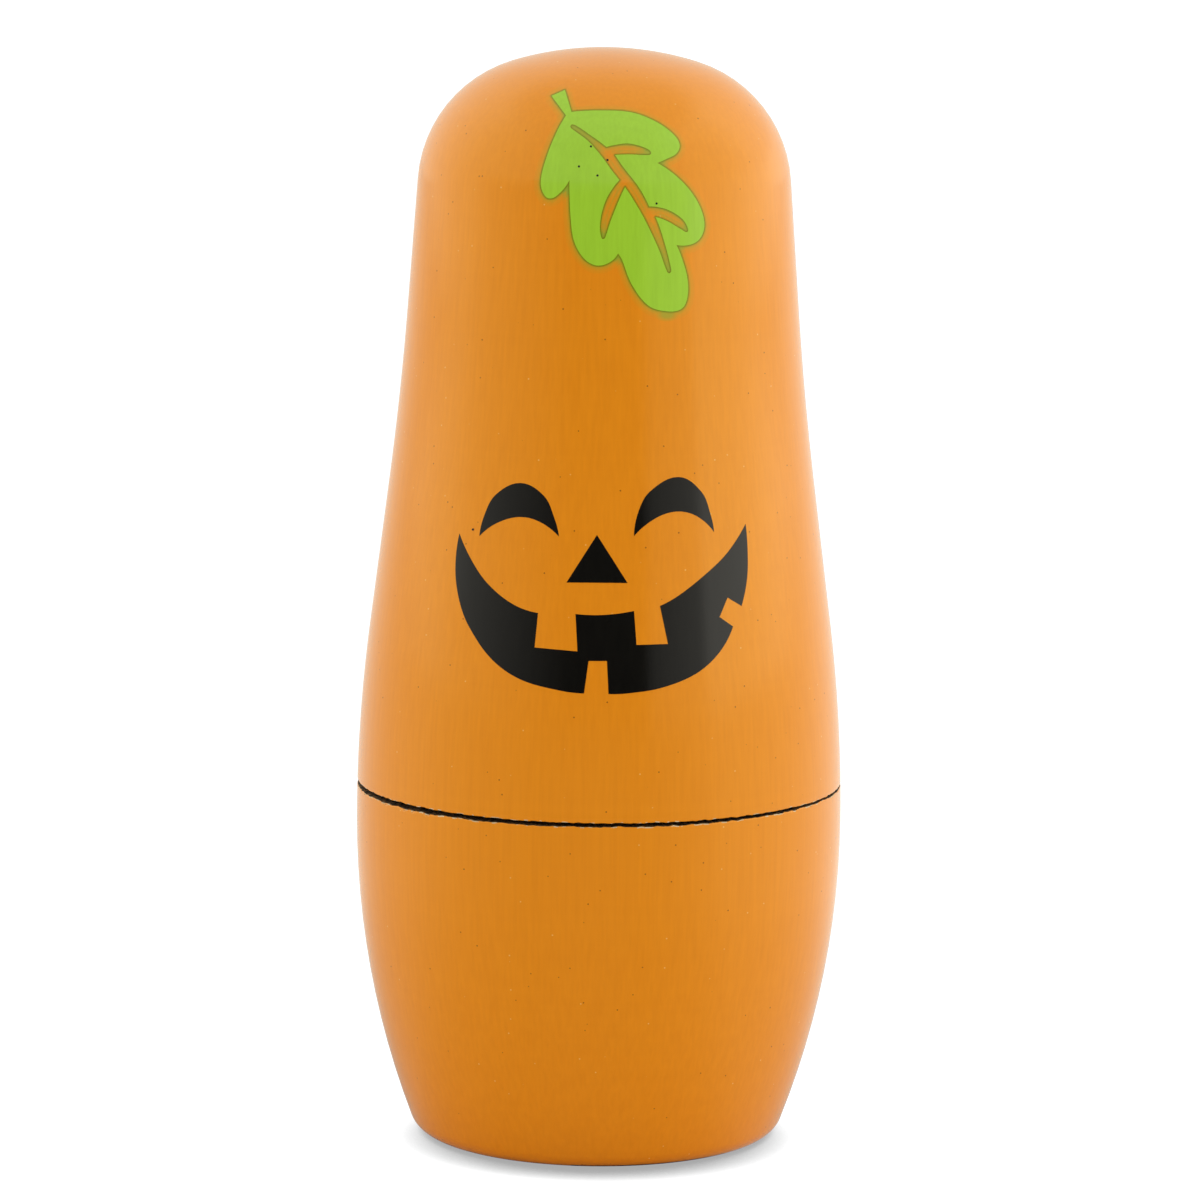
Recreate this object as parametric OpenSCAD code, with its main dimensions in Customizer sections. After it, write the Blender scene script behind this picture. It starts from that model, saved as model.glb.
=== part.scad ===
// Pumpkin nesting doll: four hollow dolls inside one another, and a solid one in the middle.
// Every hollow doll is turned as two halves. The base ends in a thin collar, and the top
// has a socket that slips over it. Every doll is the same turned shape in a smaller size.
// +Z is up, the doll stands on z = 0 and its painted front faces -Y.

/* [Outer doll] */
// Overall height
doll_h = 150; // [140:1:165]
// Diameter at the belly, the widest place
belly_d = 66.8; // [63:0.2:72]
// Height of the belly above the table
belly_z = 44; // [42:0.5:47]
// Diameter where the sides would meet the table
foot_d = 49.8; // [44:0.2:56]
// Rounding of the edge that it stands on
foot_round = 3.4; // [1:0.2:5]
// Diameter at the waist, where the sides change their taper
waist_d = 55.1; // [53:0.1:58]
// Depth of the waist below the crown
waist_drop = 47; // [42:1:54]
// Diameter at the head, under the rounding of the crown
head_d = 50.9; // [48:0.1:53]
// Depth of that diameter below the crown
head_drop = 18.5; // [17:0.5:23]
// Radius that rounds the head over into the crown
crown_corner = 18; // [13:0.5:20]
// Radius of the nearly flat crown
crown_round = 43; // [36:1:60]

/* [Belly joint] */
// Height of the seam between base and top
seam_z = 48.8; // [46:0.1:53]
// Gap that shows at the seam when the doll is shut
seam_gap = 0.5; // [0.3:0.1:1]
// Height of the collar above the seam
collar_h = 10; // [7:0.5:13]
// Wall of the collar on the base
collar_wall = 2.3; // [1.8:0.1:3]
// Wall of the top around its socket
skirt_wall = 2.6; // [2:0.1:3.5]
// Clearance all round between collar and socket
fit_gap = 0.1; // [0.05:0.05:0.2]
// Chamfer that leads the collar into the socket
collar_chamfer = 0.6; // [0.3:0.1:1]

/* [Nesting] */
// Floor of every base
floor_t = 7; // [5:0.5:8]
// Wood left above the hollow of every top
crown_t = 9; // [6:0.5:10]
// Clearance all round between a hollow and the doll that stands in it
nest_gap = 0.9; // [0.6:0.1:1.2]
// Room above the head of the doll inside
head_gap = 10; // [8:0.5:12]

/* [Hidden] */

// Number of each doll, from the outside in
outer = 0;
second = 1;
third = 2;
fourth = 3;
smallest = 4;

pumpkin_orange = "#DE8723";
// Height over which the belly bends into the taper of the sides
skirt_rise = 13.5;
// Length of the bend on each side of the waist
waist_blend = 12;
// Most of the neck that the bend may take
neck_bend_share = 0.8;
// Cuts run past their faces by this much
overrun = 1;
// Straight steps in each rounded stretch of the outline
curve_steps = 12;
$fn = 96;

// Radii, and the corner points of the outer doll's outline as [radius, height]
belly_r = belly_d / 2;
foot_r = foot_d / 2;
belly_point = [belly_r, belly_z];
skirt_point = [belly_r, belly_z + skirt_rise];
waist_point = [waist_d / 2, doll_h - waist_drop];
head_point = [head_d / 2, doll_h - head_drop];

// Straight runs below and above the waist, which limit the bend between them
side_run = norm(waist_point - skirt_point);
neck_run = norm(head_point - waist_point);
waist_bend = min(waist_blend, side_run / 2, neck_run * neck_bend_share);

// The base bows from the foot out to the belly on one arc, upright at the belly
bow_r = (belly_z * belly_z + (belly_r - foot_r) * (belly_r - foot_r)) / (2 * (belly_r - foot_r));
bow_centre = [belly_r - bow_r, belly_z];

// The foot's round touches both the table and the bow
foot_centre = [
    bow_centre.x + sqrt(pow(bow_r - foot_round, 2) - pow(belly_z - foot_round, 2)),
    foot_round
];
foot_angle = angle_of(foot_centre - bow_centre);

// The head's round touches both the side of the neck and the crown's arc
neck_way = unit(head_point - waist_point);
neck_normal = [neck_way.y, -neck_way.x];
neck_start = head_point - crown_corner * neck_normal;
crown_centre = [0, doll_h - crown_round];
neck_offset = neck_start - crown_centre;
neck_along = neck_offset * neck_way;
neck_length = sqrt(pow(neck_along, 2) - neck_offset * neck_offset + pow(crown_round - crown_corner, 2))
    - neck_along;
corner_centre = neck_start + neck_length * neck_way;
crown_angle = angle_of(corner_centre - crown_centre);

// Right half of the outer doll's outline, from the middle of the foot up to the crown
outline = concat(
    [[0, 0]],
    arc(foot_centre, foot_round, -90, foot_angle),
    arc(bow_centre, bow_r, foot_angle, 0),
    bend(belly_point, skirt_point, waist_point, skirt_rise, min(skirt_rise, side_run / 2)),
    bend(skirt_point, waist_point, head_point, waist_bend, waist_bend),
    arc(corner_centre, crown_corner, angle_of(neck_normal), crown_angle),
    arc(crown_centre, crown_round, crown_angle, 90),
    [[0, doll_h]]
);

function unit(v) = v / norm(v);
function angle_of(v) = atan2(v.y, v.x);

// Points along an arc, up to but not including its end
function arc(centre, radius, from, to) = [
    for (i = [0 : curve_steps - 1])
        let (a = from + (to - from) * i / curve_steps)
            centre + radius * [cos(a), sin(a)]
];

// Points that round off a corner between two straight lines, from a length before it to a length after it
function bend(before, corner, after, length_before, length_after) = let (
    start = corner + length_before * unit(before - corner),
    end = corner + length_after * unit(after - corner)
) [
    for (i = [0 : curve_steps])
        let (s = i / curve_steps)
            (1 - s) * (1 - s) * start + 2 * s * (1 - s) * corner + s * s * end
];

// Size of each doll. The doll inside is as large as the hollow around it lets it be.
function height(doll) = doll == outer ? doll_h : hollow_h(doll - 1) - head_gap;
function radius(doll) = doll == outer ? belly_r : hollow_r(doll - 1) - nest_gap;
function hollow_h(doll) = height(doll) - floor_t - crown_t;
function hollow_r(doll) = radius(doll) - skirt_wall - fit_gap - collar_wall;
function collar_r(doll) = hollow_r(doll) + collar_wall;
function socket_r(doll) = collar_r(doll) + fit_gap;

// Heights on each doll, from the foot of that doll
function tall(doll) = height(doll) / doll_h;
function seam(doll) = seam_z * tall(doll);
function rim(doll) = seam(doll) + seam_gap;
function collar_top(doll) = seam(doll) + collar_h * tall(doll);

// Each doll stands on the floor of the one around it
function stand_z(doll) = doll * floor_t;

// The turned shape at a radius and a height of its own
module turned_shape(shape_r, shape_h) {
    polygon([for (p = outline) [p.x * shape_r / belly_r, p.y * shape_h / doll_h]]);
}

module doll_shape(doll) {
    turned_shape(radius(doll), height(doll));
}

// What is turned out of a doll: its smaller shape, with a straight bore through the collar
module hollow_shape(doll) {
    bore_z = floor_t + belly_z * hollow_h(doll) / doll_h;
    translate([0, floor_t]) turned_shape(hollow_r(doll), hollow_h(doll));
    translate([0, bore_z]) square([hollow_r(doll), collar_top(doll) - bore_z]);
}

module collar_shape(doll) {
    polygon([
        [0, floor_t],
        [collar_r(doll), seam(doll) - collar_chamfer],
        [collar_r(doll), collar_top(doll) - collar_chamfer],
        [collar_r(doll) - collar_chamfer, collar_top(doll)],
        [0, collar_top(doll)]
    ]);
}

// The socket's step and the collar's end are the same height, so the top rests on the collar
module socket_shape(doll) {
    polygon([
        [0, rim(doll) - overrun],
        [socket_r(doll), rim(doll) - overrun],
        [socket_r(doll), collar_top(doll)],
        [0, collar_top(doll)]
    ]);
}

// Lower half: a cup with a collar standing up inside its shoulder
module turned_base(doll) {
    translate([0, 0, stand_z(doll)]) rotate_extrude() difference() {
        union() {
            intersection() {
                doll_shape(doll);
                square([radius(doll) + overrun, seam(doll)]);
            }
            collar_shape(doll);
        }
        hollow_shape(doll);
    }
}

// Upper half: a cap whose socket rests its step on the end of the collar
module turned_top(doll) {
    translate([0, 0, stand_z(doll)]) rotate_extrude() difference() {
        intersection() {
            doll_shape(doll);
            translate([0, rim(doll)]) square([radius(doll) + overrun, height(doll)]);
        }
        hollow_shape(doll);
        socket_shape(doll);
    }
}

module outer_base() {
    color(pumpkin_orange) turned_base(outer);
}

module outer_top() {
    color(pumpkin_orange) turned_top(outer);
}

module second_base() {
    color(pumpkin_orange) turned_base(second);
}

module second_top() {
    color(pumpkin_orange) turned_top(second);
}

module third_base() {
    color(pumpkin_orange) turned_base(third);
}

module third_top() {
    color(pumpkin_orange) turned_top(third);
}

module fourth_base() {
    color(pumpkin_orange) turned_base(fourth);
}

module fourth_top() {
    color(pumpkin_orange) turned_top(fourth);
}

// The smallest doll doesn't open: it is turned in one piece
module smallest_doll() {
    color(pumpkin_orange)
        translate([0, 0, stand_z(smallest)]) rotate_extrude() doll_shape(smallest);
}

outer_base();
outer_top();
second_base();
second_top();
third_base();
third_top();
fourth_base();
fourth_top();
smallest_doll();
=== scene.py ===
import math

import bmesh
import bpy
from mathutils import Matrix, Vector, noise
from mathutils.bvhtree import BVHTree
from mathutils.kdtree import KDTree


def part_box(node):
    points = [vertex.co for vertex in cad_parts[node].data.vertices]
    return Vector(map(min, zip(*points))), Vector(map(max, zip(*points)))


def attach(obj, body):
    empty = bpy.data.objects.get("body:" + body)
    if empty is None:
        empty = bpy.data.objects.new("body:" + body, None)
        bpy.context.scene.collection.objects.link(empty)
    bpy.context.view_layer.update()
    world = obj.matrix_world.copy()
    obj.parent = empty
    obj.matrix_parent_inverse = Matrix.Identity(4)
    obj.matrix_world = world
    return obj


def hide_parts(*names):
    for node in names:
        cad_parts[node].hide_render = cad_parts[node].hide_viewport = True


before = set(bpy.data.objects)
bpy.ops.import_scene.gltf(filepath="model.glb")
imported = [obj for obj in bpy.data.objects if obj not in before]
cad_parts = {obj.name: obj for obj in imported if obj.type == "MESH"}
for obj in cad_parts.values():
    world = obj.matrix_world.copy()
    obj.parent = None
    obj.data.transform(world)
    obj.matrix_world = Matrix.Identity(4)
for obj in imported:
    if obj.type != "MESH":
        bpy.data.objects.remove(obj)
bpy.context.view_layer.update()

MM = 0.001

# The camera, as the outline of the doll in the photograph gives it
PHOTO_SIDE = 1200
FOCAL_PIXELS = 6182.5
SENSOR_SIZE = 36.0
CAMERA_DISTANCE = 850 * MM
CAMERA_ELEVATION = math.radians(8.8)
CAMERA_ROLL = math.radians(0.52)
CAMERA_AIM = Vector((-0.08 * MM, 0, 74.18 * MM))

# The studio. Levels of its white walls, of the soft boxes above them and of the table in reflections, by the
# angle from the front, to the right, in degrees. They are dark at the front, where the camera stands.
WALLS = [
    (-180, 0.8), (-140, 1.2), (-115, 1.3), (-90, 1.15), (-72, 0.7), (-50, 0.4), (-30, 0.17), (-16, 0.04),
    (22, 0.04), (26, 0.36), (51, 0.7), (56, 1.25), (76, 1.4), (100, 1.8), (130, 1.7), (150, 1.2), (180, 0.8),
]
SOFT_BOXES = [
    (-180, 0.8), (-140, 1.2), (-110, 1.35), (-80, 1.1), (-50, 0.8), (-20, 0.6), (15, 0.6), (40, 0.8),
    (60, 1.2), (85, 1.4), (110, 1.65), (140, 1.2), (180, 0.8),
]
TABLE = [
    (-180, 0.9), (-150, 0.9), (-120, 0.75), (-90, 0.7), (-60, 0.35), (-30, 0.12), (20, 0.1), (40, 0.3),
    (60, 0.7), (90, 0.9), (130, 1.1), (160, 1.05), (180, 0.9),
]
CEILING_LEVEL = 0.88
# Heights in degrees over which walls pass into soft boxes, and soft boxes into the ceiling
BOXES_FROM, BOXES_TO = 8, 14
CEILING_FROM, CEILING_TO = 48, 60
LIGHT_COLOUR = "#FFFBEE"
BACKDROP_LEVEL = 1.2
FLOOR_HALF = 8
TABLE_COLOUR = "#F5F5F5"
# In reflections the table is darker near the doll: painted shade, where the doll would shut out the light
TABLE_NEAR, TABLE_FAR = 30 * MM, 170 * MM
TABLE_NEAR_SHARE = 0.58
# The shadow on the table: its reach and level, the way back and up in which a place on the table looks for
# light, and the shares of open space there between which shadow passes into white
SHADOW_REACH = 10 * MM
SHADOW_LEVEL = 0.4
SHADOW_LOOK_BACK, SHADOW_LOOK_UP = 0.7, 0.7
SHADOW_FROM, SHADOW_TO = 0.25, 0.66

# The dolls from the outside in, each with the steps of its turning
DOLLS = ["outer", "second", "third", "fourth", "smallest"]
WEDGES = 16
WEDGE_STEPS = {"outer": 48, "second": 20, "third": 18, "fourth": 16, "smallest": 16}

# Turned edges
MERGE_DISTANCE = 0.0005 * MM
STRAIGHT_ANGLE = math.radians(0.05)
CORNER_ANGLE = math.radians(40)
EDGE_ROUND = 0.15 * MM
EDGE_STEPS = 3

# Least share of a face's normal that points outwards on the skin, up on the crown, and up or down on a ledge
SKIN_SLOPE = 0.02
CROWN_SLOPE = 0.5
LEDGE_SLOPE = 0.9
# Finishes of a turned piece, the last of them painted shade, in the order of its materials
LACQUERED, BARE, PAINTED_SHADE = 0, 1, 2

# The seam stands open wider on the left than on the right. Its edges are worn within a reach of the rim, the
# wear fades out at a depth from it, and the lacquer is gone from them here and there.
SEAM_LEAN = {"base": -0.14 * MM, "top": 0.05 * MM}
SEAM_WEAR = 0.12 * MM
WEAR_LENGTH = 1.2 * MM
WEAR_INCREMENT, WEAR_LACUNARITY, WEAR_OCTAVES = 0.7, 2.0, 3
WEAR_REACH = 1.5 * EDGE_ROUND
WEAR_DEPTH = 0.6 * MM
BARE_LENGTH = 0.9 * MM
BARE_FROM = 0.2

# Painted contact shadow in a line at the edge of the foot, between two angles from the front in degrees
FOOT_SHADOW_HEIGHT = 0.4 * MM
FOOT_SHADOW_FROM, FOOT_SHADOW_TO = -8, 48

# The lacquer: the wood's upright grain and faint lathe rings show in it, and dust and pinholes as specks
GRAIN_WIDTH, GRAIN_LENGTH = 0.55 * MM, 16 * MM
LATHE_PITCH = 1.2 * MM
LATHE_SHARE = 0.2
PALE_FROM, PALE_TO = 0.4, 0.8
LACQUER_RELIEF = 0.003 * MM
DUST_SPACING = 1.9 * MM
DUST_CORE, DUST_EDGE = 0.04, 0.07
PALE_DUST_FROM = 0.55

# The enamel, in which the same grain shows a little
ENAMEL_FROM, ENAMEL_TO = 0.3, 0.7
ENAMEL_RELIEF = 0.004 * MM

# Bare wood: fine grain, fine lathe lines, and soft bands of growth round a pith that lies outside the doll.
# Blender's wave texture goes through 20 radians in a unit of length.
BARE_GRAIN_WIDTH, BARE_GRAIN_LENGTH = 0.4 * MM, 12 * MM
BARE_LATHE_PITCH = 0.5 * MM
BARE_RELIEF = 0.03 * MM
PITH_MOVE = (45 * MM, 20 * MM, 0)
BAND_SPACING = 2.5 * math.tau * MM
WAVE_RADIANS = 20
BANDS_FROM, BANDS_TO = 0.3, 1.7

# Painted shade at the seam and painted contact shadow at the foot, streaked along the grain
SHADE_GRAIN_WIDTH, SHADE_GRAIN_LENGTH = 0.4 * MM, 1.5 * MM
SHADE_GRAIN_FROM, SHADE_GRAIN_TO = 0.45, 0.65

# Paint films, with sizes in the photograph's pixels where they are named so
FILM_LIFT = 0.03 * MM
FILM_DEPTH = 0.06 * MM
EDGE_LIFT = 0.01 * MM
SPECK_LIFT = 0.05 * MM
FILM_SLICE_PIXELS = 4
FILM_SLICE_START_PIXELS = 0.3
FILM_MERGE_PIXELS = 0.12
SPECK_PIXELS = 1.1
SPECK_SIDES = 12
ON_PAINT_PIXELS = 0.01
CURVE_STEPS = 6

# The leaf's green stains the lacquer round it: an olive line next to the leaf, a haze that hangs lower and is
# stronger between two edges, and a smudge below the tip. Places are in the photograph's pixels, with y turned
# up.
EDGE_CELL_PIXELS = 1.2
EDGE_REACH_PIXELS = 11
LINE_FULL_PIXELS, LINE_END_PIXELS = 0.6, 1.8
HAZE_RINGS_PIXELS = (3, 7)
HAZE_RING_STEPS = 12
HAZE_SHARE = 1.1
BETWEEN_SHARE = 1.6
HAZE_MOVE_PIXELS = Vector((-0.3, -1.6, 0))
SMUDGE_PLACE = Vector((667, -314, 0))
SMUDGE_HALF_WIDTH_PIXELS, SMUDGE_HALF_HEIGHT_PIXELS = 13, 8
SMUDGE_FULL = 0.4
SMUDGE_SHARE = 0.75

# Outlines of the painted shapes in photograph pixels. Each run starts at a corner, goes on through
# its smooth points and ends at the corner that starts the next run.
LEFT_EYE = [
    [(479.5, 536), (484, 516.5), (495.5, 495), (520.5, 483), (544, 496), (554.5, 518.5)],
    [(559, 536.5), (539, 521.5), (519, 517), (497, 523)],
]
RIGHT_EYE = [
    [(634, 536), (638.5, 511.5), (650, 491.5), (678.5, 477), (701.5, 492), (710.5, 514.5)],
    [(714, 532), (696.5, 516), (677, 511.5), (656, 518)],
]
NOSE = [[(597, 535)], [(627.5, 583)], [(566.5, 582.5)]]
MOUTH = [
    [(459.5, 533.5), (455.5, 569.5), (459.5, 601), (469, 626.5), (491.5, 659), (520.5, 679.5),
     (559.5, 690.5)],
    [(584, 693.5)],
    [(588.5, 661)],
    [(607, 661)],
    [(608.5, 694), (626.5, 693.5), (661, 688), (695.5, 674), (718.5, 653.5)],
    [(733, 626.5)],
    [(719.5, 617)],
    [(727.5, 597.5)],
    [(741.5, 606), (747, 578), (747.5, 550)],
    [(745.5, 524), (727.5, 552.5), (707, 573), (679.5, 595)],
    [(660, 606)],
    [(668, 644)],
    [(636.5, 645)],
    [(634, 611), (603.5, 615)],
    [(575.5, 614)],
    [(577.5, 651.5)],
    [(534.5, 647.5)],
    [(538, 613), (512.5, 604), (488, 584), (472, 561)],
]
LEAF = [
    [(551.5, 96)],
    [(565, 90)],
    [(571.5, 112), (599.5, 110.5), (631.5, 112.5), (655.5, 121.5), (673, 134), (679.5, 144.5),
     (676.5, 153.5), (666.5, 159)],
    [(657.5, 163), (679, 178.5), (695.3, 198), (703.8, 219), (702.5, 234), (693.5, 243.5)],
    [(676.5, 245), (682.5, 260), (687.5, 279.5), (687, 299), (680.5, 309.5), (664, 311),
     (647.5, 305), (631.5, 284), (622, 260)],
    [(618, 253.5), (609.5, 262.5), (596.5, 265.5), (584, 258.5), (574, 241), (570.5, 215.5), (569.5, 191.5)],
    [(569.5, 180), (560, 193), (549.5, 198.5), (542.5, 191.5), (541, 179), (546.8, 156.5), (556.5, 132.5)],
    [(566, 115.5)],
]
VEINS = [
    [(619.5, 180), (611.5, 170), (604.5, 160), (596.5, 150), (587, 140), (573.5, 130), (570.5, 127),
     (572.5, 124.5), (580, 128), (590, 135), (600, 142)],
    [(606.5, 147), (615, 145), (627, 143.5), (640, 146), (649, 150), (651, 153), (649, 155), (630, 154.5)],
    [(615, 155), (623.5, 167.5), (636.5, 184), (644, 196)],
    [(649, 206.5), (657, 207), (667, 209.5), (676.5, 214.5), (684, 221), (688, 229.5), (686.5, 232),
     (681.5, 229.5), (667, 221)],
    [(655.5, 217), (662.5, 236), (671, 268.5), (670, 273), (667, 271.5), (659, 250), (645, 220),
     (633.5, 200)],
    [(625, 187), (619, 200), (611, 220), (606, 235), (603.5, 239), (601, 236), (600, 225), (602.5, 210),
     (608.5, 195)],
]
# Specks of black that the brush left
SPECKS = [(591, 146.5), (607.5, 160), (597.5, 175.5), (656.5, 203.5), (579, 166.5), (473, 529.5)]


def linear(hex_colour):
    """An sRGB hex colour as the linear colour that shader sockets take."""
    shares = [int(hex_colour[i:i + 2], 16) / 255 for i in (1, 3, 5)]
    return [s / 12.92 if s <= 0.04045 else ((s + 0.055) / 1.055) ** 2.4 for s in shares] + [1.0]


def add_node(tree, kind, settings=None, inputs=None):
    """Adds a node with its settings, and sets or links its inputs by name or number."""
    node = tree.nodes.new(kind)
    for name, value in (settings or {}).items():
        setattr(node, name, value)
    for name, value in (inputs or {}).items():
        if isinstance(value, bpy.types.NodeSocket):
            tree.links.new(value, node.inputs[name])
        else:
            node.inputs[name].default_value = value
    return node


def mix_colour(tree, share, first, second):
    """Colour between two others, by a share from 0 to 1."""
    return add_node(tree, "ShaderNodeMix", {"data_type": "RGBA"}, {0: share, 6: first, 7: second}).outputs[2]


def add_object(name, data):
    """A new object in the scene."""
    made = bpy.data.objects.new(name, data)
    bpy.context.scene.collection.objects.link(made)
    return made


def add_camera():
    """The camera at the photograph's viewing angle, aimed at the middle of the doll."""
    data = bpy.data.cameras.new("camera")
    data.sensor_width = SENSOR_SIZE
    data.lens = FOCAL_PIXELS / PHOTO_SIDE * SENSOR_SIZE
    back = Vector((0, -math.cos(CAMERA_ELEVATION), math.sin(CAMERA_ELEVATION)))
    turn = (-back).to_track_quat("-Z", "Y").to_matrix() @ Matrix.Rotation(CAMERA_ROLL, 3, "Z")
    camera = add_object("camera", data)
    camera.matrix_world = Matrix.LocRotScale(CAMERA_AIM + back * CAMERA_DISTANCE, turn, None)
    bpy.context.scene.camera = camera
    return camera


def turn_share(tree, way):
    """Angle of a way from the front, to the right, as a share from 0 to 1 round the whole turn."""
    axes = add_node(tree, "ShaderNodeSeparateXYZ", {}, {0: way}).outputs
    front = add_node(tree, "ShaderNodeMath", {"operation": "MULTIPLY"}, {0: axes["Y"], 1: -1.0})
    angle = add_node(tree, "ShaderNodeMath", {"operation": "ARCTAN2"}, {0: axes["X"], 1: front.outputs[0]})
    return add_node(tree, "ShaderNodeMapRange", {}, {
        "Value": angle.outputs[0], "From Min": -math.pi, "From Max": math.pi}).outputs[0]


def lit(level):
    """The colour of the studio's light at a level."""
    return [level * share for share in linear(LIGHT_COLOUR)[:3]] + [1]


def level_ramp(tree, share, levels):
    """Levels of the studio's light by the angle from the front, which is a share of the whole turn."""
    ramp = add_node(tree, "ShaderNodeValToRGB", {}, {"Fac": share})
    stops = ramp.color_ramp.elements
    while len(stops) < len(levels):
        stops.new(0.5)
    for stop, (degrees, level) in zip(stops, levels):
        stop.position = degrees / 360 + 0.5
        stop.color = lit(level)
    return ramp.outputs["Color"]


def lit_table():
    """White table lit from below: it looks white but for the shadow in front of what stands on it, and in
    reflections it is darker towards the camera and, as painted shade, near the doll."""
    material = bpy.data.materials.new("lit_white_table")
    material.use_nodes = True
    tree = material.node_tree
    tree.nodes.clear()
    path = add_node(tree, "ShaderNodeLightPath").outputs
    place = add_node(tree, "ShaderNodeTexCoord").outputs["Object"]
    away = add_node(tree, "ShaderNodeVectorMath", {"operation": "LENGTH"}, {0: place}).outputs["Value"]
    # Painted shade in reflections: the table dims towards the doll
    open_table = add_node(tree, "ShaderNodeMapRange", {}, {
        "Value": away, "From Min": TABLE_NEAR, "From Max": TABLE_FAR, "To Min": TABLE_NEAR_SHARE})
    reflected = add_node(tree, "ShaderNodeEmission", {}, {
        "Color": level_ramp(tree, turn_share(tree, place), TABLE), "Strength": open_table.outputs[0]})
    top = add_node(tree, "ShaderNodeBsdfDiffuse", {}, {"Color": linear(TABLE_COLOUR)})
    lit_top = add_node(tree, "ShaderNodeMixShader", {}, {
        0: path["Is Glossy Ray"], 1: top.outputs[0], 2: reflected.outputs[0]})
    backward = add_node(tree, "ShaderNodeCombineXYZ", {}, {
        "Y": SHADOW_LOOK_BACK, "Z": SHADOW_LOOK_UP}).outputs[0]
    open_share = add_node(tree, "ShaderNodeAmbientOcclusion", {}, {
        "Distance": SHADOW_REACH, "Normal": backward})
    level = add_node(tree, "ShaderNodeMapRange", {}, {
        "Value": open_share.outputs["AO"], "From Min": SHADOW_FROM, "From Max": SHADOW_TO,
        "To Min": SHADOW_LEVEL, "To Max": BACKDROP_LEVEL})
    glow = add_node(tree, "ShaderNodeEmission", {}, {"Strength": level.outputs[0]})
    mixed = add_node(tree, "ShaderNodeMixShader", {}, {
        0: path["Is Camera Ray"], 1: lit_top.outputs[0], 2: glow.outputs[0]})
    add_node(tree, "ShaderNodeOutputMaterial", {}, {"Surface": mixed.outputs[0]})
    return material


def add_floor():
    """The table that the doll stands on, which isn't part of it."""
    bm = bmesh.new()
    bmesh.ops.create_grid(bm, x_segments=1, y_segments=1, size=FLOOR_HALF)
    mesh = bpy.data.meshes.new("floor")
    bm.to_mesh(mesh)
    bm.free()
    floor = add_object("floor", mesh)
    mesh.materials.append(lit_table())


def height_share(tree, height, low_degrees, high_degrees):
    """Share from 0 to 1 between two heights above the horizon."""
    return add_node(tree, "ShaderNodeMapRange", {}, {
        "Value": height, "From Min": math.sin(math.radians(low_degrees)),
        "From Max": math.sin(math.radians(high_degrees))}).outputs[0]


def add_studio_light():
    """White walls all round, soft boxes above them and a white ceiling."""
    world = bpy.data.worlds.new("studio")
    world.use_nodes = True
    bpy.context.scene.world = world
    tree = world.node_tree
    tree.nodes.clear()
    way = add_node(tree, "ShaderNodeTexCoord").outputs["Generated"]
    share = turn_share(tree, way)
    height = add_node(tree, "ShaderNodeSeparateXYZ", {}, {0: way}).outputs["Z"]
    in_boxes = height_share(tree, height, BOXES_FROM, BOXES_TO)
    in_ceiling = height_share(tree, height, CEILING_FROM, CEILING_TO)
    sides = mix_colour(tree, in_boxes, level_ramp(tree, share, WALLS), level_ramp(tree, share, SOFT_BOXES))
    room = mix_colour(tree, in_ceiling, sides, lit(CEILING_LEVEL))
    light = add_node(tree, "ShaderNodeBackground", {}, {"Color": room})
    backdrop = add_node(tree, "ShaderNodeBackground", {}, {
        "Color": (1, 1, 1, 1), "Strength": BACKDROP_LEVEL})
    seen = add_node(tree, "ShaderNodeLightPath").outputs["Is Camera Ray"]
    mixed = add_node(tree, "ShaderNodeMixShader", {}, {0: seen, 1: light.outputs[0], 2: backdrop.outputs[0]})
    add_node(tree, "ShaderNodeOutputWorld", {}, {"Surface": mixed.outputs[0]})


def start_material(name):
    """A new material with its node tree, its shader and the place on the piece."""
    material = bpy.data.materials.new(name)
    material.use_nodes = True
    tree = material.node_tree
    place = add_node(tree, "ShaderNodeTexCoord").outputs["Object"]
    return material, tree, tree.nodes["Principled BSDF"], place


def wood_grain(tree, place, width, length):
    """Upright streaks of the wood's grain, about 0.5."""
    stretched = add_node(tree, "ShaderNodeMapping", {}, {
        "Vector": place, "Scale": (1 / width, 1 / width, 1 / length)})
    return add_node(tree, "ShaderNodeTexNoise", {}, {
        "Vector": stretched.outputs[0], "Scale": 1.0, "Detail": 3.0, "Roughness": 0.6}).outputs[0]


def lathe_lines(tree, place, pitch):
    """Fine lines round the turning axis, as the lathe tool leaves them, about 0.5."""
    across = add_node(tree, "ShaderNodeVectorMath", {"operation": "MULTIPLY"}, {0: place, 1: (1, 1, 0)})
    radius = add_node(tree, "ShaderNodeVectorMath", {"operation": "LENGTH"}, {0: across.outputs[0]})
    height = add_node(tree, "ShaderNodeSeparateXYZ", {}, {0: place}).outputs["Z"]
    section = add_node(tree, "ShaderNodeCombineXYZ", {}, {"X": radius.outputs["Value"], "Z": height})
    return add_node(tree, "ShaderNodeTexNoise", {}, {
        "Vector": section.outputs[0], "Scale": 1 / pitch, "Detail": 2.0}).outputs[0]


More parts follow.
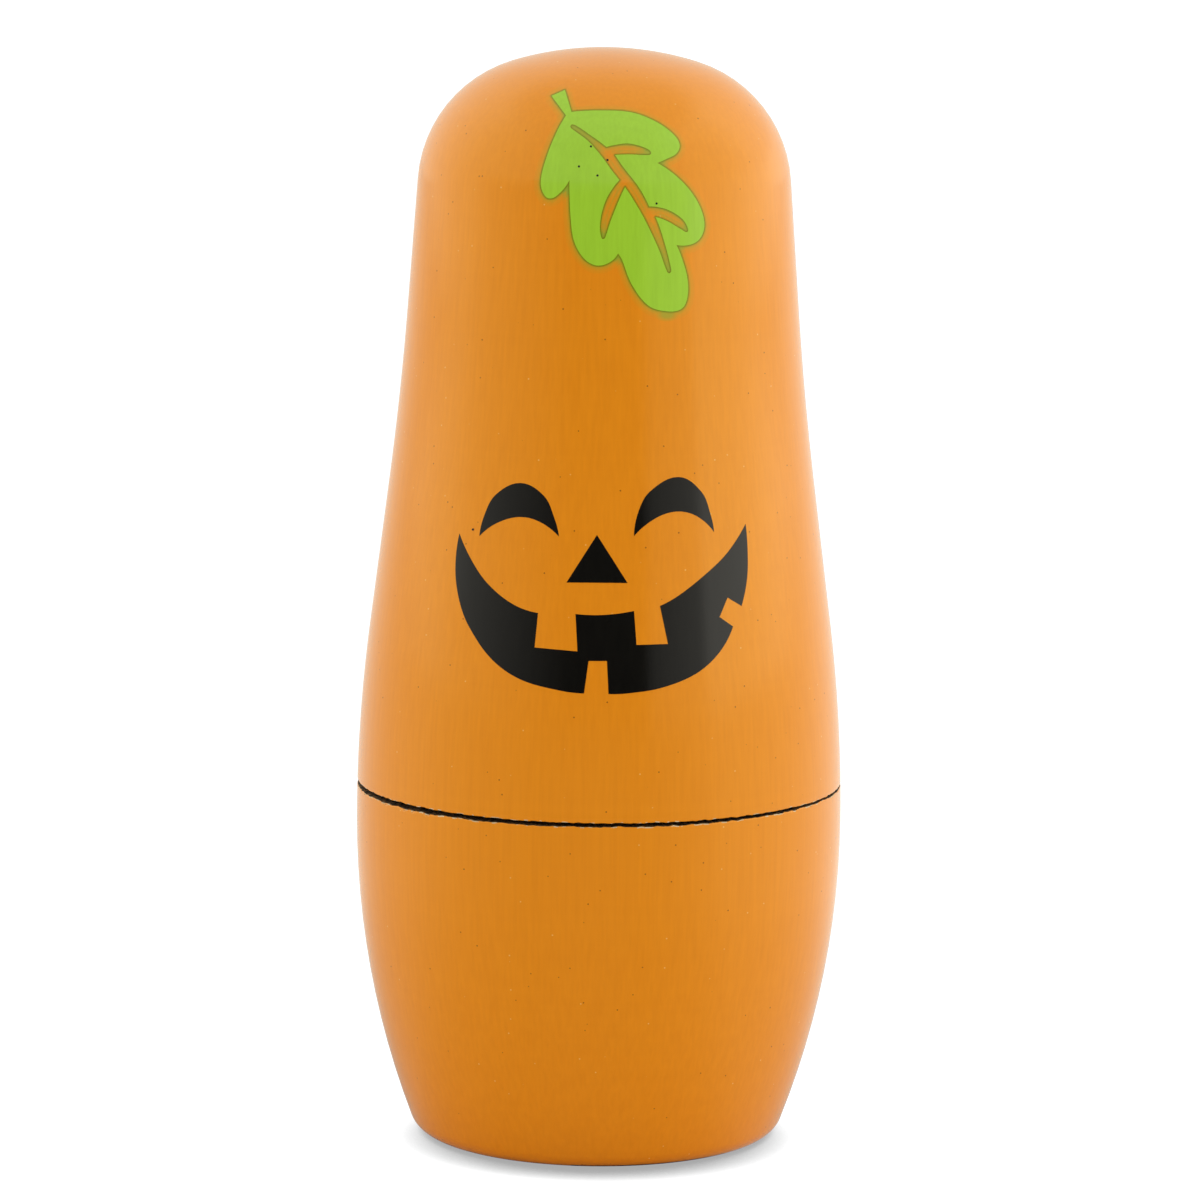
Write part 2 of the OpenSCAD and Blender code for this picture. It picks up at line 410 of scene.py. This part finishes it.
def orange_lacquer(name, stained):
    """Gloss orange lacquer over turned linden: the grain shows as fine upright streaks that ruffle the
    reflections, the lathe's marks as faint rings, and dust and pinholes as specks. Where the leaf's green
    stains it, it turns olive."""
    material, tree, shader, place = start_material(name)
    grain = wood_grain(tree, place, GRAIN_WIDTH, GRAIN_LENGTH)
    rings = lathe_lines(tree, place, LATHE_PITCH)
    faint_rings = add_node(tree, "ShaderNodeMath", {"operation": "MULTIPLY"}, {0: rings, 1: LATHE_SHARE})
    relief = add_node(tree, "ShaderNodeMath", {"operation": "ADD"}, {
        0: grain, 1: faint_rings.outputs[0]}).outputs[0]
    share = add_node(tree, "ShaderNodeMapRange", {}, {
        "Value": relief, "From Min": PALE_FROM, "From Max": PALE_TO})
    colour = mix_colour(tree, share.outputs[0], linear("#F1921A"), linear("#F7981C"))
    dust = add_node(tree, "ShaderNodeTexVoronoi", {}, {"Vector": place, "Scale": 1 / DUST_SPACING})
    kind = add_node(tree, "ShaderNodeSeparateColor", {}, {0: dust.outputs["Color"]}).outputs[0]
    pale = add_node(tree, "ShaderNodeMath", {"operation": "GREATER_THAN"}, {0: kind, 1: PALE_DUST_FROM})
    dust_colour = mix_colour(tree, pale.outputs[0], linear("#9A4E08"), linear("#FFC46A"))
    in_dust = add_node(tree, "ShaderNodeMapRange", {}, {
        "Value": dust.outputs["Distance"], "From Min": DUST_EDGE, "From Max": DUST_CORE})
    colour = mix_colour(tree, in_dust.outputs[0], colour, dust_colour)
    if stained:
        haze = add_node(tree, "ShaderNodeAttribute", {"attribute_name": "green_haze"}).outputs["Fac"]
        line = add_node(tree, "ShaderNodeAttribute", {"attribute_name": "olive_line"}).outputs["Fac"]
        colour = mix_colour(tree, haze, colour, linear("#A0B139"))
        colour = mix_colour(tree, line, colour, linear("#7C8814"))
    tree.links.new(colour, shader.inputs["Base Color"])
    bump = add_node(tree, "ShaderNodeBump", {}, {
        "Height": relief, "Distance": LACQUER_RELIEF, "Strength": 1.0})
    tree.links.new(bump.outputs[0], shader.inputs["Normal"])
    shader.inputs["Roughness"].default_value = 0.14
    shader.inputs["IOR"].default_value = 1.5
    shader.inputs["Specular IOR Level"].default_value = 0.75
    shader.inputs["Specular Tint"].default_value = linear("#FFFABC")
    return material


def bare_linden():
    """Bare turned linden: pale cream wood with soft bands of growth, fine grain and fine lathe lines."""
    material, tree, shader, place = start_material("bare_turned_linden")
    grain = wood_grain(tree, place, BARE_GRAIN_WIDTH, BARE_GRAIN_LENGTH)
    lines = lathe_lines(tree, place, BARE_LATHE_PITCH)
    off_centre = add_node(tree, "ShaderNodeMapping", {}, {"Vector": place, "Location": PITH_MOVE})
    bands = add_node(tree, "ShaderNodeTexWave", {"wave_type": "RINGS", "rings_direction": "Z"}, {
        "Vector": off_centre.outputs[0], "Scale": math.tau / (WAVE_RADIANS * BAND_SPACING),
        "Distortion": 1.5, "Detail": 2.0})
    both = add_node(tree, "ShaderNodeMath", {"operation": "ADD"}, {0: grain, 1: bands.outputs["Fac"]})
    share = add_node(tree, "ShaderNodeMapRange", {}, {
        "Value": both.outputs[0], "From Min": BANDS_FROM, "From Max": BANDS_TO})
    colour = mix_colour(tree, share.outputs[0], linear("#D9B98A"), linear("#EAD2AB"))
    tree.links.new(colour, shader.inputs["Base Color"])
    bump = add_node(tree, "ShaderNodeBump", {}, {"Height": lines, "Distance": BARE_RELIEF, "Strength": 1.0})
    tree.links.new(bump.outputs[0], shader.inputs["Normal"])
    shader.inputs["Roughness"].default_value = 0.6
    return material


def painted_shade_wood():
    """Dark brown, dull wood as painted shade in the joint and painted contact shadow at the foot."""
    material, tree, shader, place = start_material("dark_wood_painted_shade")
    grain = wood_grain(tree, place, SHADE_GRAIN_WIDTH, SHADE_GRAIN_LENGTH)
    share = add_node(tree, "ShaderNodeMapRange", {}, {
        "Value": grain, "From Min": SHADE_GRAIN_FROM, "From Max": SHADE_GRAIN_TO})
    colour = mix_colour(tree, share.outputs[0], linear("#2E1F12"), linear("#94744E"))
    tree.links.new(colour, shader.inputs["Base Color"])
    shader.inputs["Roughness"].default_value = 0.8
    return material


def gloss_paint(name, dark, light, rough):
    """Gloss enamel brushed on the lacquer: even colour, with the faint streaks of the wood below."""
    material, tree, shader, place = start_material(name)
    grain = wood_grain(tree, place, GRAIN_WIDTH, GRAIN_LENGTH)
    share = add_node(tree, "ShaderNodeMapRange", {}, {
        "Value": grain, "From Min": ENAMEL_FROM, "From Max": ENAMEL_TO})
    colour = mix_colour(tree, share.outputs[0], linear(dark), linear(light))
    tree.links.new(colour, shader.inputs["Base Color"])
    bump = add_node(tree, "ShaderNodeBump", {}, {
        "Height": grain, "Distance": ENAMEL_RELIEF, "Strength": 1.0})
    tree.links.new(bump.outputs[0], shader.inputs["Normal"])
    shader.inputs["Roughness"].default_value = rough
    shader.inputs["IOR"].default_value = 1.5
    return material


def whole(bm):
    """All points, edges and faces of a bmesh."""
    return bm.verts[:] + bm.edges[:] + bm.faces[:]


def finished_mesh(name, bm, coats):
    """Makes a bmesh a mesh with sharp corners and with its coats of material."""
    mesh = bpy.data.meshes.new(name)
    bm.to_mesh(mesh)
    bm.free()
    mesh.shade_smooth()
    mesh.set_sharp_from_angle(angle=CORNER_ANGLE)
    for coat in coats:
        mesh.materials.append(coat)
    return mesh


def doll_nodes(doll):
    """The nodes of a doll, from the foot up. The smallest doll is one piece."""
    return ["smallest_doll"] if doll == "smallest" else [doll + "_base", doll + "_top"]


def turn_angle(vert):
    """How far the outline turns at a point between two of its edges."""
    first, second = (edge.other_vert(vert).co - vert.co for edge in vert.link_edges)
    return math.pi - first.angle(second)


def half_section(node):
    """The outline of the right half of a node's section, from the axis round to the axis."""
    bm = bmesh.new()
    bm.from_mesh(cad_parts[node].data)
    bmesh.ops.remove_doubles(bm, verts=bm.verts, dist=MERGE_DISTANCE)
    bmesh.ops.bisect_plane(bm, geom=whole(bm), plane_no=(1, 0, 0), clear_inner=True)
    bmesh.ops.bisect_plane(bm, geom=whole(bm), plane_no=(0, 1, 0), clear_inner=True, clear_outer=True)
    bmesh.ops.remove_doubles(bm, verts=bm.verts, dist=MERGE_DISTANCE)
    between = [v for v in bm.verts if len(v.link_edges) == 2]
    straight = [v for v in between if turn_angle(v) < STRAIGHT_ANGLE]
    bmesh.ops.dissolve_verts(bm, verts=straight)
    return bm


def wear_rim(bm, rim_z, lean):
    """Leans the outer edge of a seam and wears it ragged."""
    near = [v for v in bm.verts if abs(v.co.z - rim_z) < WEAR_REACH]
    rim_r = max(v.co.xy.length for v in near)
    for vert in near:
        if vert.co.xy.length > rim_r - WEAR_REACH:
            ragged = noise.fractal(vert.co / WEAR_LENGTH, WEAR_INCREMENT, WEAR_LACUNARITY, WEAR_OCTAVES)
            vert.co.z += SEAM_WEAR * ragged - lean * vert.co.x / rim_r


def is_lacquered(face, half, rim_z):
    """The outside is lacquered. The collar, socket, hollow and underside are bare."""
    middle = face.calc_center_median()
    outward = face.normal.dot(Vector((middle.x, middle.y, 0)).normalized())
    if half == "base":
        return outward > SKIN_SLOPE and middle.z < rim_z
    return outward > SKIN_SLOPE or face.normal.z > CROWN_SLOPE


def is_worn_bare(face, rim_z):
    """The lacquer is worn through here and there along the edges of the seam."""
    middle = face.calc_center_median()
    return abs(middle.z - rim_z) < EDGE_ROUND and noise.noise(middle / BARE_LENGTH) > BARE_FROM


def is_at_seam(face, rim_z):
    """The ledge round the collar, and the edge of the top that sits over it, which take the painted shade."""
    return abs(face.normal.z) > LEDGE_SLOPE and abs(face.calc_center_median().z - rim_z) < EDGE_ROUND


def is_foot_contact_shadow(face):
    """The edge that the doll stands on, where a line of painted contact shadow darkens it."""
    middle = face.calc_center_median()
    angle = math.degrees(math.atan2(middle.x, -middle.y))
    return MERGE_DISTANCE < middle.z < FOOT_SHADOW_HEIGHT and FOOT_SHADOW_FROM < angle < FOOT_SHADOW_TO


def turned_shell(node, doll, coats):
    """A node's section with its corners rounded, turned about the axis, worn at the seam, and finished with
    lacquer outside, bare wood inside, painted shade at the seam and painted contact shadow at the foot."""
    bm = half_section(node)
    half = node.split("_")[1]
    corners = [v for v in bm.verts if len(v.link_edges) == 2 and turn_angle(v) > CORNER_ANGLE]
    rim_z = max(corners, key=lambda v: v.co.x).co.z if corners else None
    if corners:
        level = rim_z + (WEAR_DEPTH if half == "top" else -WEAR_DEPTH)
        bmesh.ops.bisect_plane(bm, geom=whole(bm), plane_co=(0, 0, level), plane_no=(0, 0, 1))
    bmesh.ops.bevel(bm, geom=corners, offset=EDGE_ROUND, offset_type="OFFSET", segments=EDGE_STEPS,
                    profile=0.5, affect="VERTICES", material=-1)
    bmesh.ops.spin(bm, geom=bm.verts[:] + bm.edges[:], axis=(0, 0, 1), angle=math.tau / WEDGES,
                   steps=WEDGE_STEPS[doll])
    bmesh.ops.spin(bm, geom=whole(bm), axis=(0, 0, 1), angle=math.tau - math.tau / WEDGES,
                   steps=WEDGES - 1, use_duplicate=True)
    bmesh.ops.remove_doubles(bm, verts=bm.verts, dist=MERGE_DISTANCE)
    bmesh.ops.recalc_face_normals(bm, faces=bm.faces)
    for face in bm.faces:
        face.material_index = LACQUERED if is_lacquered(face, half, rim_z) else BARE
        if corners and is_worn_bare(face, rim_z):
            face.material_index = BARE
        # Dark painted shade on the seam's ledge and rim, and a painted contact shadow along part of the
        # foot's edge
        if is_foot_contact_shadow(face) or corners and is_at_seam(face, rim_z):
            face.material_index = PAINTED_SHADE
    if corners:
        wear_rim(bm, rim_z, SEAM_LEAN[half])
    name = node + "_turned"
    piece = add_object(name, finished_mesh(name, bm, coats))
    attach(piece, node)
    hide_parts(node)


def handle(point, other, way):
    """The handle at a point along a way, as long as a round stretch to the other point needs."""
    chord = other - point
    return point + way.normalized() * chord.length / (3 * math.cos(chord.angle(way) / 2) ** 2)


def run_knots(points):
    """Handles of the stretches of a run, as pairs: smooth at its inner points, round towards its ends."""
    ways = [after - before for before, after in zip(points, points[2:])]
    first, last = points[1] - points[0], points[-1] - points[-2]
    if ways:
        ways = [-ways[0].reflect(first.normalized())] + ways + [-ways[-1].reflect(last.normalized())]
    else:
        ways = [first, last]
    stretches = zip(points, points[1:], ways, ways[1:])
    return [(handle(here, there, way_out), handle(there, here, -way_in))
            for here, there, way_out, way_in in stretches]


def flat_shape(name, loops):
    """A flat bmesh of the loops of runs, in photograph pixels with y turned up."""
    curve = bpy.data.curves.new(name, "CURVE")
    curve.dimensions = "2D"
    curve.fill_mode = "FRONT"
    for loop in loops:
        ends = loop[1:] + loop[:1]
        runs = [[Vector((x, -y, 0)) for x, y in run + end[:1]] for run, end in zip(loop, ends)]
        knots = [point for run in runs for point in run[:-1]]
        handles = [pair for run in runs for pair in run_knots(run)]
        spline = curve.splines.new("BEZIER")
        spline.bezier_points.add(len(knots) - 1)
        spline.use_cyclic_u = True
        spline.resolution_u = CURVE_STEPS
        for i, bezier in enumerate(spline.bezier_points):
            bezier.handle_left_type = bezier.handle_right_type = "FREE"
            bezier.co = knots[i]
            bezier.handle_left = handles[i - 1][1]
            bezier.handle_right = handles[i][0]
    holder = bpy.data.objects.new(name, curve)
    mesh = bpy.data.meshes.new_from_object(holder)
    bm = bmesh.new()
    bm.from_mesh(mesh)
    bpy.data.objects.remove(holder)
    bpy.data.meshes.remove(mesh)
    bmesh.ops.remove_doubles(bm, verts=bm.verts, dist=FILM_MERGE_PIXELS)
    return bm


def slice_film(bm):
    """Cuts a flat shape along a grid, so that it can follow a round surface."""
    bmesh.ops.dissolve_limit(bm, angle_limit=STRAIGHT_ANGLE, verts=[], edges=bm.edges[:])
    for axis in (Vector((1, 0, 0)), Vector((0, 1, 0))):
        places = [v.co.dot(axis) - FILM_SLICE_START_PIXELS for v in bm.verts]
        first = math.ceil(min(places) / FILM_SLICE_PIXELS)
        last = math.floor(max(places) / FILM_SLICE_PIXELS)
        for i in range(first, last + 1):
            level = i * FILM_SLICE_PIXELS + FILM_SLICE_START_PIXELS
            bmesh.ops.bisect_plane(bm, geom=whole(bm), dist=FILM_MERGE_PIXELS, plane_co=axis * level,
                                   plane_no=axis)
    bmesh.ops.remove_doubles(bm, verts=bm.verts, dist=FILM_MERGE_PIXELS)
    bmesh.ops.dissolve_degenerate(bm, edges=bm.edges, dist=FILM_MERGE_PIXELS)


def falling_share(distance, full, end):
    """1 up to a distance, and from there down to 0 at another."""
    return min(1, max(0, (end - distance) / (end - full)))


def haze_share(painted, place):
    """Share of the haze at a place, by how much of two rings round it lies on the paint, and how often two
    opposite sides do."""
    turns = [math.tau * i / HAZE_RING_STEPS for i in range(HAZE_RING_STEPS)]
    steps = [Vector((radius * math.cos(turn), radius * math.sin(turn), 0))
             for radius in HAZE_RINGS_PIXELS for turn in turns]
    hits = [painted.find_nearest(place + step, ON_PAINT_PIXELS)[0] is not None for step in steps]
    pairs = [here and there for here, there in zip(hits, hits[HAZE_RING_STEPS // 2:])]
    return min(1, HAZE_SHARE * sum(hits) / len(hits) + BETWEEN_SHARE * sum(pairs) / len(pairs))


def smudge_share(place):
    """Share of the smudge below the leaf's tip."""
    away = place - SMUDGE_PLACE
    distance = math.hypot(away.x / SMUDGE_HALF_WIDTH_PIXELS, away.y / SMUDGE_HALF_HEIGHT_PIXELS)
    return SMUDGE_SHARE * falling_share(distance, SMUDGE_FULL, 1)


def stained_cells(leaf):
    """Small flat cells round a leaf's outline. Each point has its shares of the olive line and the haze."""
    places = [v.co for v in leaf.verts]
    reach = Vector((EDGE_REACH_PIXELS, EDGE_REACH_PIXELS, 0))
    low = Vector(map(min, *places)) - reach
    high = Vector(map(max, *places)) + reach
    size = high - low
    bm = bmesh.new()
    bmesh.ops.create_grid(bm, x_segments=round(size.x / EDGE_CELL_PIXELS),
                          y_segments=round(size.y / EDGE_CELL_PIXELS), size=0.5,
                          matrix=Matrix.LocRotScale((low + high) / 2, None, Vector((size.x, size.y, 1))))
    # Both layers are made before either is taken, because making one moves the other
    for name in ("olive_line", "green_haze"):
        bm.verts.layers.float.new(name)
    line = bm.verts.layers.float["olive_line"]
    haze = bm.verts.layers.float["green_haze"]
    painted = BVHTree.FromBMesh(leaf)
    outline = [v for v in leaf.verts if v.is_boundary]
    near_outline = KDTree(len(outline))
    for i, vert in enumerate(outline):
        near_outline.insert(vert.co, i)
    near_outline.balance()
    unseen = []
    for vert in bm.verts:
        outside = painted.find_nearest(vert.co)[3]
        under_leaf = outside == 0 and near_outline.find(vert.co)[2] > FILM_SLICE_PIXELS
        if under_leaf or outside > EDGE_REACH_PIXELS:
            unseen.append(vert)
            continue
        bled = haze_share(painted, vert.co - HAZE_MOVE_PIXELS)
        vert[line] = falling_share(outside, LINE_FULL_PIXELS, LINE_END_PIXELS)
        vert[haze] = max(bled, smudge_share(vert.co))
    bmesh.ops.delete(bm, geom=unseen, context="VERTS")
    return bm


def lay_film(name, bm, paint, lift):
    """Makes a flat shape a slab, and throws it along the camera's rays onto the outer doll."""
    raised = set(bmesh.ops.extrude_face_region(bm, geom=bm.faces[:], use_keep_orig=True)["geom"])
    centre = PHOTO_SIDE / 2
    eye = camera.matrix_world.translation
    turn = camera.matrix_world.to_3x3()
    for vert in bm.verts:
        ray = turn @ Vector(((vert.co.x - centre) / FOCAL_PIXELS, (vert.co.y + centre) / FOCAL_PIXELS, -1))
        place, normal, _, _ = outer_surface.ray_cast(eye, ray)
        vert.co = place + normal * (lift if vert in raised else lift - FILM_DEPTH)
    bmesh.ops.recalc_face_normals(bm, faces=bm.faces)
    return finished_mesh(name, bm, [paint])


def add_film(doll, name, mesh):
    """A film on one of the dolls, fitted from the outer doll's by the sizes of the two."""
    fitted = mesh.copy()
    fitted.transform(doll_fit(doll))
    piece = add_object(doll + "_" + name, fitted)
    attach(piece, doll_nodes(doll)[-1])


def doll_box(doll):
    """Radius, lowest and highest level of a doll."""
    nodes = doll_nodes(doll)
    low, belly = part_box(nodes[0])
    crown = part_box(nodes[-1])[1]
    return belly.x, low.z, crown.z


def doll_fit(doll):
    """What takes the outer doll's surface to another doll's."""
    outer_radius, outer_low, outer_high = doll_box("outer")
    radius, low, high = doll_box(doll)
    across = radius / outer_radius
    up = (high - low) / (outer_high - outer_low)
    return Matrix.Translation((0, 0, low)) @ Matrix.Diagonal((across, across, up, 1))


camera = add_camera()
add_floor()
add_studio_light()

# The turned dolls
# The third coat is dark painted shade for the seam and the foot
coats = [orange_lacquer("orange_gloss_lacquer", stained=False), bare_linden(), painted_shade_wood()]
for doll in DOLLS:
    for node in doll_nodes(doll):
        turned_shell(node, doll, coats)
bpy.context.view_layer.update()
outer_surface = BVHTree.FromObject(bpy.data.objects["outer_top_turned"],
                                   bpy.context.evaluated_depsgraph_get())

# The painted face
black = gloss_paint("black_gloss_enamel", "#0A0908", "#100F0D", 0.12)
face = flat_shape("face", [LEFT_EYE, RIGHT_EYE, NOSE, MOUTH])
slice_film(face)
films = [("face", "black_paint", lay_film("face", face, black, FILM_LIFT))]

# The oak leaf, and the lacquer that it stains
leaf = flat_shape("leaf", [LEAF, VEINS])
slice_film(leaf)
stained = stained_cells(leaf)
lime = gloss_paint("lime_gloss_enamel", "#A3D737", "#ABDF3B", 0.16)
olive = orange_lacquer("orange_lacquer_stained_green", stained=True)
films.append(("leaf", "leaf_paint", lay_film("leaf", leaf, lime, FILM_LIFT)))
films.append(("leaf_edge", "leaf_edge_paint", lay_film("leaf_edge", stained, olive, EDGE_LIFT)))
for doll in DOLLS:
    for name, slot, mesh in films:
        add_film(doll, name, mesh)

# Specks of black on the outer doll alone
specks = bmesh.new()
for x, y in SPECKS:
    bmesh.ops.create_circle(specks, cap_ends=True, segments=SPECK_SIDES, radius=SPECK_PIXELS,
                            matrix=Matrix.Translation((x, -y, 0)))
add_film("outer", "specks", lay_film("specks", specks, black, SPECK_LIFT))

bpy.context.scene.view_settings.view_transform = "Standard"
